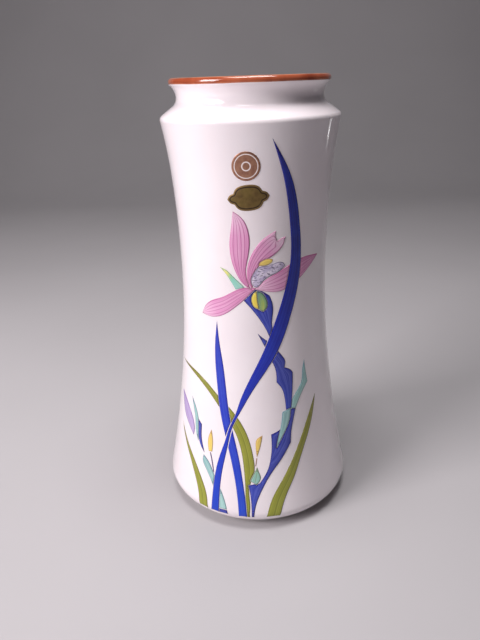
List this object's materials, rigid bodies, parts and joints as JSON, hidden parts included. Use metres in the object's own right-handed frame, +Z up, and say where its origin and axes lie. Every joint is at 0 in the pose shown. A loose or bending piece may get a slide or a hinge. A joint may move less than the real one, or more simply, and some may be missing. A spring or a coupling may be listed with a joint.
{
  "type": "porcelain vase",
  "caption": "Waisted cylindrical porcelain vase with a flared neck, brown rim and a painted spray of leaves and one flower; holds flowers and water.",
  "frame": {"origin": "centre of the vase's footprint, on the surface that it stands on", "axes": "+Z up along the vase's axis, the painted side faces -Y"},
  "size_m": [0.1156, 0.1158, 0.2491],
  "materials": {
    "porcelain": "unglazed biscuit, matt",
    "white_glaze": "clear glaze over white porcelain, high gloss",
    "rim_glaze": "iron-brown glaze, glossy, thin at its edge",
    "enamel_blue": "raised overglaze enamel, glossy",
    "enamel_violet": "raised overglaze enamel, glossy",
    "enamel_green": "raised overglaze enamel, glossy",
    "enamel_sage": "raised overglaze enamel, glossy",
    "enamel_pink": "raised overglaze enamel, glossy",
    "enamel_lavender": "raised overglaze enamel, glossy",
    "enamel_yellow": "raised overglaze enamel, glossy",
    "enamel_teal": "raised overglaze enamel, glossy",
    "gilding": "burnished gilt, slightly worn",
    "label_foil": "embossed foil, satin"
  },
  "bodies": {
    "root": {"porcelain_body": "porcelain", "outer_glaze": "white_glaze", "inner_glaze": "white_glaze", "base_glaze": "white_glaze", "rim_band": "rim_glaze", "leaf_tall_blue": "enamel_blue", "leaf_short_blue": "enamel_blue", "leaf_bent_green": "enamel_green", "leaf_left_green": "enamel_green", "leaf_right_green": "enamel_green", "stem_lower": "enamel_violet", "bract_middle": "enamel_violet", "stem_upper": "enamel_violet", "stem_thorn": "enamel_violet", "sheath_left_blue": "enamel_violet", "stem_left_foot": "enamel_violet", "bud_left_stalk": "enamel_violet", "sheath_teal": "enamel_teal", "bud_right_calyx": "enamel_teal", "sprig_teal": "enamel_teal", "sheath_left_teal": "enamel_teal", "stem_left_teal": "enamel_teal", "bract_left": "enamel_teal", "bud_right_yellow": "enamel_yellow", "bud_left_yellow": "enamel_yellow", "bud_right_stalk": "enamel_yellow", "flower_crest_yellow": "enamel_yellow", "calyx_yellow": "enamel_yellow", "calyx_green": "enamel_sage", "flower_lip": "enamel_lavender", "bud_left_lavender": "enamel_lavender", "petal_upper_left": "enamel_pink", "petal_upper_right": "enamel_pink", "petal_lower_left": "enamel_pink", "petal_right": "enamel_pink", "gilt_roundel": "gilding", "foil_label": "label_foil"}
  },
  "joints": []
}
